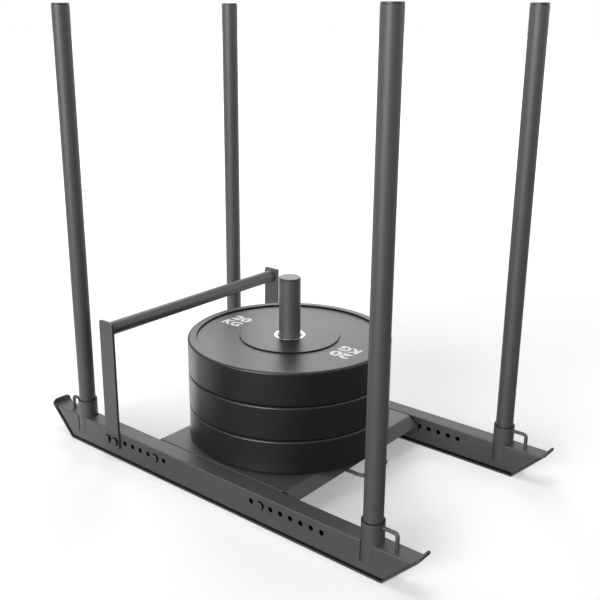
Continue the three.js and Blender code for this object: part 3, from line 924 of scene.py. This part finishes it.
def make_deck(name):
    slab_path = [
        (APRON_EDGE_X, APRON_FOOT),
        (FOLD_X, RUNNER_TOP),
        (-FOLD_X, RUNNER_TOP),
        (-APRON_EDGE_X, APRON_FOOT),
    ]
    apron_width = 2 * (DECK_HALF - DECK_THICKNESS - APRON_RELIEF)
    slab = prism(name, bent_strip(slab_path, DECK_THICKNESS, DECK_BEND), apron_width, "Y")
    channel_path = [
        (DECK_HALF, FLANGE_FOOT),
        (DECK_HALF, RUNNER_TOP),
        (-DECK_HALF, RUNNER_TOP),
        (-DECK_HALF, FLANGE_FOOT),
    ]
    channel_outline = bent_strip(channel_path, DECK_THICKNESS, DECK_BEND)
    channel = prism("channel", channel_outline, 2 * (FOLD_X - DECK_BEND), "X")
    flange_top = RUNNER_TOP - DECK_BEND
    flange = [
        (-APRON_EDGE_X, FLANGE_FOOT),
        (APRON_EDGE_X, FLANGE_FOOT),
        (APRON_EDGE_X, APRON_FOOT),
        (FOLD_X, flange_top),
        (-FOLD_X, flange_top),
        (-APRON_EDGE_X, APRON_FOOT),
    ]
    pieces = [channel]
    cutters = []
    for sign in SIDES.values():
        middle = sign * (DECK_HALF - DECK_THICKNESS / 2)
        pieces.append(move(prism("flange", flange, DECK_THICKNESS, "Y"), 0, middle, 0))
        for way in ENDS.values():
            length = DECK_THICKNESS + 2 * OVERRUN
            cutters.append(drill(HOLE_RADIUS, length, way * hole_x(DECK_HOLE), middle, HOLE_HEIGHT))
        notch = prism("notch", circle(ROD_RADIUS + SEAM), TOW_BAR_X - TOW_TAIL_X, "X")
        notch_x = (TOW_BAR_X + TOW_TAIL_X) / 2
        cutters.append(move(notch, notch_x, sign * TOW_HALF, TOW_HEIGHT))
    combine(slab, pieces, "UNION")
    combine(slab, [join_pieces(cutters)])
    return soften(slab, DECK_EDGE)


# The cut ends of the flanges beside the aprons get the dark material as painted shade.
def shaded_flange_end(centre, normal):
    outward = abs(centre.y) > DECK_HALF - DECK_THICKNESS - APRON_RELIEF
    return outward and abs(centre.x) > FOLD_X - DECK_BEND and abs(normal.x) > FLANGE_END_LEAN


deck = dress(make_deck("deck_sheet"), "frame", POWDER, "deck")
paint_shade(deck, PACKING_AND_SHADE, shaded_flange_end)
print("deck corners:", len(deck.data.vertices))

# %% [markdown]
# The tow loop is a U of rod, welded under the front apron. Its legs pass through the notches.

# %% Tow loop
TOW_BEND = 14 * MM
tow = rounded([
    (TOW_TAIL_X, -TOW_HALF, 0),
    (TOW_BAR_X, -TOW_HALF, TOW_BEND),
    (TOW_BAR_X, TOW_HALF, TOW_BEND),
    (TOW_TAIL_X, TOW_HALF, 0),
])
tow_rod = sweep("tow_loop_rod", [(*point, TOW_HEIGHT) for point in tow])
dress(tow_rod, "frame", POWDER, "tow_loop")
print("tow loop reaches x =", TOW_BAR_X)

# %% [markdown]
# The weight horn is a post of tube, welded to the deck, with a cap like the poles'. The plates hide
# its foot.

# %% Weight horn
HORN_RADIUS = 24 * MM
HORN_WALL = 3 * MM
HORN_TOP = 432 * MM
horn = make_tube("horn_tube", HORN_RADIUS, HORN_WALL, RUNNER_TOP + SEAM, HORN_TOP - CAP_HEAD - SEAM)
dress(horn, "frame", POWDER, "weight_horn")
dress(make_cap("horn_top_cap", HORN_RADIUS, HORN_WALL, HORN_TOP), "frame", PLASTIC, "horn_cap")
print("horn stands", HORN_TOP, "m high")

# %% [markdown]
# ## Plates, hubs and marks
# Three equal rubber plates lie on the deck, each with a raised rim and boss round a flat ring, and a
# bare steel hub. Upper and lower face are alike, so a profile is drawn from mid height up and
# mirrored. The hub's anchor flange, inside the rubber, is drawn too, as the solids have it.

# %% Plate and hub
PLATE_FINE = 192
PLATE_RADIUS = 227.5 * MM
PLATE_THICKNESS = 76.1 * MM
RIM_RISE = 0.9 * MM
PLATE_EDGE = 5 * MM
PLATE_STEP = 208 * MM
PLATE_RECESS = 3 * MM
PLATE_DRAFT = 1 * MM
BOSS_RADIUS = 111 * MM
SOFT = 0.8 * MM
HUB_RADIUS = 35 * MM
HUB_BORE = 25.3 * MM
HUB_CHAMFER = 3.7 * MM
ANCHOR_RADIUS = 55 * MM
ANCHOR_HALF = 4 * MM


def both_halves(upper):
    """A whole profile from its upper half, which runs upward from mid height."""
    lower = [(radius, -height, turn) for radius, height, turn in reversed(upper)]
    return rounded(lower + upper)


def make_plate(name, middle):
    rim = PLATE_THICKNESS / 2
    boss = rim - RIM_RISE
    floor = boss - PLATE_RECESS
    upper = [
        (PLATE_RADIUS, rim, PLATE_EDGE),
        (PLATE_STEP, rim, SOFT),
        (PLATE_STEP - PLATE_DRAFT, floor, SOFT),
        (BOSS_RADIUS + PLATE_DRAFT, floor, SOFT),
        (BOSS_RADIUS, boss, SOFT),
        (HUB_RADIUS + SEAM, boss, SMALL),
        (HUB_RADIUS + SEAM, ANCHOR_HALF + SEAM, 0),
        (ANCHOR_RADIUS + SEAM, ANCHOR_HALF + SEAM, 0),
    ]
    return move(turned(name, both_halves(upper), PLATE_FINE), 0, 0, middle)


def make_hub(name, middle):
    top = PLATE_THICKNESS / 2 - RIM_RISE
    upper = [
        (ANCHOR_RADIUS, ANCHOR_HALF, 0),
        (HUB_RADIUS, ANCHOR_HALF, 0),
        (HUB_RADIUS, top, SMALL),
        (HUB_BORE + HUB_CHAMFER, top, SMALL),
        (HUB_BORE, top - HUB_CHAMFER, SMALL),
    ]
    return move(turned(name, both_halves(upper), PLATE_FINE), 0, 0, middle)


print("a plate is", PLATE_THICKNESS, "m thick and", 2 * PLATE_RADIUS, "m wide")

# %% [markdown]
# The only marks are the weight, printed twice in white, so that one of them can be read from either
# side. Text can be a mesh or a picture. As a thin mesh it stays sharp close up, and it lifts with its
# plate.

# %% Weight marks
MARK_SIZE = (50 * MM, 28 * MM)
MARK_PITCH = 34 * MM
MARK_RADIUS = 156 * MM
MARK_Y = -3 * MM
MARK_RELIEF = 0.25 * MM
TEXT_SIZE = 40 * MM
TEXT_WEIGHT = 1.8 * MM
TEXT_FINE = 6


def make_word(word, width, height, lift):
    """Text as a thin solid that fills a box of the given size, centred on (0, lift)."""
    text = bpy.data.curves.new(word, "FONT")
    text.body = word
    text.size = TEXT_SIZE
    text.offset = TEXT_WEIGHT
    text.extrude = MARK_RELIEF / 2
    text.resolution_u = TEXT_FINE
    piece = mesh_from(word, text)
    corners = piece.data.vertices
    low = [min(corner.co[axis] for corner in corners) for axis in range(2)]
    high = [max(corner.co[axis] for corner in corners) for axis in range(2)]
    for corner in corners:
        corner.co.x = ((corner.co.x - low[0]) / (high[0] - low[0]) - 0.5) * width
        corner.co.y = ((corner.co.y - low[1]) / (high[1] - low[1]) - 0.5) * height + lift
    return piece


def make_marks(name, floor):
    """The weight, printed twice, each turned to read from its own side of the hub."""
    words = []
    for way in (1, -1):
        for word, lift in (("20", MARK_PITCH / 2), ("KG", -MARK_PITCH / 2)):
            piece = make_word(word, *MARK_SIZE, lift)
            for vertex in piece.data.vertices:
                vertex.co.x = way * vertex.co.x - way * MARK_RADIUS
                vertex.co.y = way * vertex.co.y + MARK_Y
            words.append(piece)
    marks = join_pieces(words)
    marks.name = name
    return move(marks, 0, 0, floor)


print("marks stand", MARK_RADIUS, "m from the axis")

# %% [markdown]
# Each plate is a body of its own, and its hub and marks ride with it. The steps between rim, ring and
# boss are narrow, and their walls get the dark material as painted shade.

# %% The stack
STEP_LEAN = 0.8


# Picks the walls of the steps for painted shade.
def shaded_step_wall(centre, normal):
    radius = math.hypot(centre.x, centre.y)
    inside = BOSS_RADIUS - PLATE_DRAFT < radius < PLATE_STEP + PLATE_DRAFT
    return inside and abs(normal.z) < STEP_LEAN


for level, name in enumerate(["bottom", "middle", "top"]):
    middle = RUNNER_TOP + SEAM + level * (PLATE_THICKNESS + SEAM) + PLATE_THICKNESS / 2
    body = f"{name}_plate"
    plate = dress(make_plate(f"{name}_plate_rubber", middle), body, RUBBER, body)
    paint_shade(plate, PACKING_AND_SHADE, shaded_step_wall)
    dress(make_hub(f"{name}_hub_steel", middle), body, STEEL, f"{name}_plate_hub")
    floor_level = middle + PLATE_THICKNESS / 2 - RIM_RISE - PLATE_RECESS
    dress(make_marks(f"{name}_plate_marks", floor_level), body, PAINT)
print("the stack's flat ring is at z =", round(floor_level, 4))

# %% [markdown]
# ## Push bar
# The low bar is a tube between two flat uprights, which stand outside the runners and use the last
# two holes of the rear rows.

# %% Handle and uprights
PUSH_HOLES = (6, 7)
PUSH_LEAD = 1.5 * MM
PUSH_X = -(hole_x(PUSH_HOLES[0]) + hole_x(PUSH_HOLES[1])) / 2 + PUSH_LEAD
PUSH_HEIGHT = 316.5 * MM
PUSH_RADIUS = 15 * MM
PUSH_WALL = 2.5 * MM
PUSH_HALF = 276 * MM
UPRIGHT_WIDTH = 44 * MM
UPRIGHT_THICKNESS = 6 * MM
UPRIGHT_FOOT = 30 * MM
UPRIGHT_TOP = 336.5 * MM
UPRIGHT_CORNER = 5 * MM
OUTER_FACE = RUNNER_Y + RUNNER_WIDTH / 2
UPRIGHT_FACE = OUTER_FACE + SEAM + UPRIGHT_THICKNESS


def lay_across(piece):
    """Turns a mesh from the Z axis to the Y axis, so that its top faces +Y."""
    for vertex in piece.data.vertices:
        x, y, z = vertex.co
        vertex.co = (x, z, -y)
    return piece


handle = make_tube("push_bar_handle", PUSH_RADIUS, PUSH_WALL, -PUSH_HALF, PUSH_HALF)
dress(move(lay_across(handle), PUSH_X, 0, PUSH_HEIGHT), "frame", POWDER, "push_bar_tube")
for side, sign in SIDES.items():
    height = UPRIGHT_TOP - UPRIGHT_FOOT
    outline = rounded_box(UPRIGHT_WIDTH, height, UPRIGHT_CORNER, (UPRIGHT_TOP + UPRIGHT_FOOT) / 2)
    bar = prism(f"{side}_upright_bar", outline, UPRIGHT_THICKNESS, "Y")
    holes = []
    for number in PUSH_HOLES:
        offset = -hole_x(number) - PUSH_X
        holes.append(drill(HOLE_RADIUS, UPRIGHT_THICKNESS + 2 * OVERRUN, offset, 0, HOLE_HEIGHT))
    combine(bar, [join_pieces(holes)])
    soften(bar)
    y = sign * (UPRIGHT_FACE - UPRIGHT_THICKNESS / 2)
    dress(move(bar, PUSH_X, y, 0), "frame", POWDER, f"{side}_push_bar_upright")
print("push bar at x =", round(PUSH_X, 4))

# %% [markdown]
# ## Bolts and nuts
# Heads and nuts are hexagons whose corners are turned down. Only what a hexagonal prism and a turned
# cone both fill is left, as when the real one is chamfered on a lathe. A bevel couldn't do that,
# because it would follow the flats.

# %% Hexagons
BOLT_FLATS = 17 * MM
HEX_CHAMFER = 1.1 * MM
HEX_SLOPE = 1.73


def make_hexagon(name, low, high, chamfer_low, chamfer_high):
    """A hexagon along Z whose corners are turned down at either end."""
    corner = BOLT_FLATS / math.sqrt(3)
    spokes = [math.pi / 3 * number for number in range(6)]
    outline = [(corner * math.cos(angle), corner * math.sin(angle)) for angle in spokes]
    body = prism(name, outline, high - low, "Z")
    move(body, 0, 0, (low + high) / 2)
    face = corner - HEX_SLOPE * HEX_CHAMFER
    wide = corner + SMALL
    turn_down = HEX_CHAMFER + SMALL / HEX_SLOPE
    cone = [(0, low - SMALL)]
    if chamfer_low:
        cone += [(face, low - SMALL), (face, low), (wide, low + turn_down)]
    else:
        cone.append((wide, low - SMALL))
    if chamfer_high:
        cone += [(wide, high - turn_down), (face, high), (face, high + SMALL)]
    else:
        cone.append((wide, high + SMALL))
    cone.append((0, high + SMALL))
    return combine(body, [turned("chamfer", cone)], "INTERSECT")


print("hexagons are", BOLT_FLATS, "m across flats")

# %% [markdown]
# The thread is a row of rings without a lead. A true helix would look the same at this size, and
# would cost far more faces.

# %% Bolts and nuts
BOLT_RADIUS = 5 * MM
BOLT_HEAD = 6.4 * MM
BOLT_TAIL = 3 * MM
NUT_HEIGHT = 8 * MM
THREAD_DEPTH = 0.5 * MM
THREAD_PITCH = 1.5 * MM
FASTENER_EDGE = 0.15 * MM


def make_bolt(name, grip):
    """A bolt along Y whose head bears on y = 0 and whose threaded end points to -Y."""
    head = make_hexagon(name, SEAM, SEAM + BOLT_HEAD, False, True)
    end = -grip - SEAM - NUT_HEIGHT - BOLT_TAIL
    core = BOLT_RADIUS - THREAD_DEPTH
    profile = [(0, end), (core - THREAD_DEPTH, end)]
    turns = round((BOLT_TAIL + NUT_HEIGHT) / THREAD_PITCH)
    for number in range(turns):
        low = end + THREAD_DEPTH + number * THREAD_PITCH
        profile += [(core, low), (BOLT_RADIUS, low + THREAD_PITCH / 2)]
    profile += [
        (core, end + THREAD_DEPTH + turns * THREAD_PITCH),
        (BOLT_RADIUS, end + 2 * THREAD_DEPTH + turns * THREAD_PITCH),
        (BOLT_RADIUS, SEAM + SMALL),
        (0, SEAM + SMALL),
    ]
    shank = turned("shank", profile, ROUND)
    return lay_across(soften(combine(head, [shank], "UNION"), FASTENER_EDGE, 1))


def make_nut(name):
    """A nut along Y whose bearing face is just below y = 0."""
    body = make_hexagon(name, -SEAM - NUT_HEIGHT, -SEAM, True, True)
    bore = BOLT_RADIUS + SEAM
    low, high = -SEAM - NUT_HEIGHT - SMALL, SMALL
    tool = turned("bore", [(0, low), (bore, low), (bore, high), (0, high)], ROUND)
    return lay_across(soften(combine(body, [tool]), FASTENER_EDGE, 1))


print("a nut is", NUT_HEIGHT, "m thick")

# %% [markdown]
# The heads lie outside and the nuts on the inner faces, as a fitter would place them. The outer face
# of a head shines like the runner, and its sides get the dark material as painted shade.

# %% Fasten
INNER_FACE = RUNNER_Y - RUNNER_WIDTH / 2
SIDE_LEAN = 0.5


def turn_half(piece):
    """Turns a mesh by half a circle about Z."""
    for vertex in piece.data.vertices:
        vertex.co.x = -vertex.co.x
        vertex.co.y = -vertex.co.y
    return piece


# Picks the sides of a head for painted shade.
def shaded_head_side(centre, normal):
    return abs(centre.y) > OUTER_FACE and abs(normal.y) < SIDE_LEAN


def fasten(name, x, sign, head_y, nut_y):
    for piece, y, kind in (
        (make_bolt(f"{name}_bolt_steel", head_y - nut_y), head_y, "bolt"),
        (make_nut(f"{name}_nut_steel"), nut_y, "nut"),
    ):
        if sign < 0:
            turn_half(piece)
        fastener = dress(move(piece, x, sign * y, HOLE_HEIGHT), "frame", ZINC, f"{name}_{kind}")
        if kind == "bolt":
            paint_shade(fastener, PACKING_AND_SHADE, shaded_head_side)


flange_face = DECK_HALF - DECK_THICKNESS
for side, sign in SIDES.items():
    for end, number in zip(ENDS, PUSH_HOLES):
        fasten(f"{side}_{end}_push_bar", -hole_x(number), sign, UPRIGHT_FACE, INNER_FACE)
    for end, way in ENDS.items():
        fasten(f"{side}_{end}_deck", way * hole_x(DECK_HOLE), sign, OUTER_FACE, flange_face)

# %% [markdown]
# ## Studio
# The photograph has a white ground with soft, light shadows. Two large disk lamps above the sled make
# them. Each is a line of place, size and power.

# %% Lamps
LAMPS = {
    "key": ((-2.1, 1.9, 2.6), 1.6, 28),
    "top": ((-0.3, -0.3, 3.2), 2.0, 30),
}
LAMP_AIM = Vector((0, 0, 0.3))


def make_lamp(name, place, size, power):
    data = bpy.data.lights.new(name, "AREA")
    data.shape = "DISK"
    data.size = size
    data.energy = power
    lamp = add_object(name, data)
    lamp.location = place
    lamp.rotation_euler = (LAMP_AIM - lamp.location).to_track_quat("-Z", "Y").to_euler()


for name, (place, size, power) in LAMPS.items():
    make_lamp(name, place, size, power)
print("lamps:", list(LAMPS))

# %% [markdown]
# The light that shapes the sides comes from the picture's left and from behind, so faces toward the
# front of the sled stay dark. Lamps there would show in reflections as hard disks. A soft box is a
# glow here instead: a round patch of sky with a soft edge.

# %% Glows
GLOW_CORE = math.radians(8)
GLOW_EDGE = math.radians(26)


def direction(azimuth, elevation=0):
    """A unit vector from degrees. The azimuth counts from +X toward +Y."""
    turn, rise = math.radians(azimuth), math.radians(elevation)
    flat = math.cos(rise)
    return Vector((math.cos(turn) * flat, math.sin(turn) * flat, math.sin(rise)))


def vector_node(tree, operation, vector, fixed=None):
    """A Vector Math node. Its second operand, if any, is a fixed vector."""
    node = tree.nodes.new("ShaderNodeVectorMath")
    node.operation = operation
    tree.links.new(vector, node.inputs[0])
    if fixed is not None:
        node.inputs[1].default_value = fixed
    return node


def ramp_node(tree, value, start, end, low, high):
    """A smooth ramp, low at the start and high at the end."""
    node = tree.nodes.new("ShaderNodeMapRange")
    node.interpolation_type = "SMOOTHSTEP"
    node.inputs["From Min"].default_value = start
    node.inputs["From Max"].default_value = end
    node.inputs["To Min"].default_value = low
    node.inputs["To Max"].default_value = high
    tree.links.new(value, node.inputs["Value"])
    return node.outputs["Result"]


def glow_node(tree, vector, aim, strength):
    """A patch round a direction, full inside its core and gone at its edge."""
    lean = vector_node(tree, "DOT_PRODUCT", vector, aim).outputs["Value"]
    return ramp_node(tree, lean, math.cos(GLOW_EDGE), math.cos(GLOW_CORE), 0, strength)


print("a glow ends", round(math.degrees(GLOW_EDGE)), "degrees from its middle")

# %% [markdown]
# The world is white to the camera. Reflections see it white too, with the glows on top, and all other
# rays see only the glows over a weak even light. Each glow is a line of azimuth, elevation and
# strength.

# %% World
GLOWS = [
    (-86, 10, 14),
    (125, 10, 1.5),
    (50, 10, 2.2),
]
AMBIENT = 0.05


def make_world():
    world = bpy.data.worlds.new("studio")
    bpy.context.scene.world = world
    world.use_nodes = True
    tree = world.node_tree
    background = tree.nodes["Background"]
    background.inputs["Color"].default_value = (1, 1, 1, 1)
    place = tree.nodes.new("ShaderNodeTexCoord").outputs["Generated"]
    level = AMBIENT
    for azimuth, elevation, strength in GLOWS:
        glow = glow_node(tree, place, direction(azimuth, elevation), strength)
        level = math_node(tree, "ADD", glow, level)
    path = tree.nodes.new("ShaderNodeLightPath")
    unseen = math_node(tree, "SUBTRACT", 1, path.outputs["Is Camera Ray"])
    strength = math_node(tree, "MULTIPLY", level, unseen)
    for ray in ("Is Camera Ray", "Is Glossy Ray", "Is Transmission Ray"):
        strength = math_node(tree, "ADD", strength, path.outputs[ray])
    tree.links.new(strength, background.inputs["Strength"])


make_world()
print("glows:", len(GLOWS))

# %% [markdown]
# ## Floor
# Reflections see a few glowing patches of the floor, painted light in place of lamps: some by their
# direction from the sled, and one pool beside its right rear corner, which lights the flanks of the
# plates.

# %% Bright patches
FLOOR_GLOWS = [(180, 1.1), (-155, 0.4), (100, 2), (60, 0.5)]
POOL_PLACE = (-0.85, -0.4, 0)
POOL_CORE, POOL_EDGE = 0.2, 0.6
POOL_GLOW = 1.1


def floor_glow(tree, place):
    """The floor's painted glow patches, which only reflections see."""
    away = vector_node(tree, "DISTANCE", place, POOL_PLACE).outputs["Value"]
    glow = ramp_node(tree, away, POOL_CORE, POOL_EDGE, POOL_GLOW, 0)
    unit = vector_node(tree, "NORMALIZE", place).outputs["Vector"]
    for azimuth, strength in FLOOR_GLOWS:
        patch = glow_node(tree, unit, direction(azimuth), strength)
        glow = math_node(tree, "ADD", glow, patch)
    return glow


print("bright patches:", len(FLOOR_GLOWS) + 1)

# %% [markdown]
# The floor itself is plain and pale and keeps the shadows. A lift makes it nearly white to the
# camera, and all white far away, so that no horizon shows.

# %% Floor
FLOOR_SIZE = 60
FLOOR_GREY = 0.25
FLOOR_SEEN = 0.95
FLOOR_LIFT = 0.33
LIFT_NEAR, LIFT_FAR = 1.2, 5.0


def make_floor():
    bpy.ops.mesh.primitive_plane_add(size=FLOOR_SIZE)
    floor = bpy.context.object
    floor.name = "floor"
    material = bpy.data.materials.new("floor")
    material.use_nodes = True
    tree = material.node_tree
    shader = tree.nodes["Principled BSDF"]
    shader.inputs["Roughness"].default_value = 1
    shader.inputs["Specular IOR Level"].default_value = 0
    shader.inputs["Emission Color"].default_value = (1, 1, 1, 1)
    path = tree.nodes.new("ShaderNodeLightPath").outputs
    grey = ramp_node(tree, path["Is Camera Ray"], 0, 1, FLOOR_GREY, FLOOR_SEEN)
    tree.links.new(grey, shader.inputs["Base Color"])
    place = tree.nodes.new("ShaderNodeTexCoord").outputs["Object"]
    reach = vector_node(tree, "LENGTH", place).outputs["Value"]
    lift = ramp_node(tree, reach, LIFT_NEAR, LIFT_FAR, FLOOR_LIFT, 1)
    shown = math_node(tree, "ADD", path["Is Camera Ray"], path["Is Transmission Ray"])
    lifted = math_node(tree, "MULTIPLY", lift, shown)
    glowing = math_node(tree, "MULTIPLY", floor_glow(tree, place), path["Is Glossy Ray"])
    strength = math_node(tree, "ADD", lifted, glowing)
    tree.links.new(strength, shader.inputs["Emission Strength"])
    floor.data.materials.append(material)


make_floor()
bpy.context.scene.view_settings.view_transform = "Standard"
print("floor grey:", FLOOR_GREY)
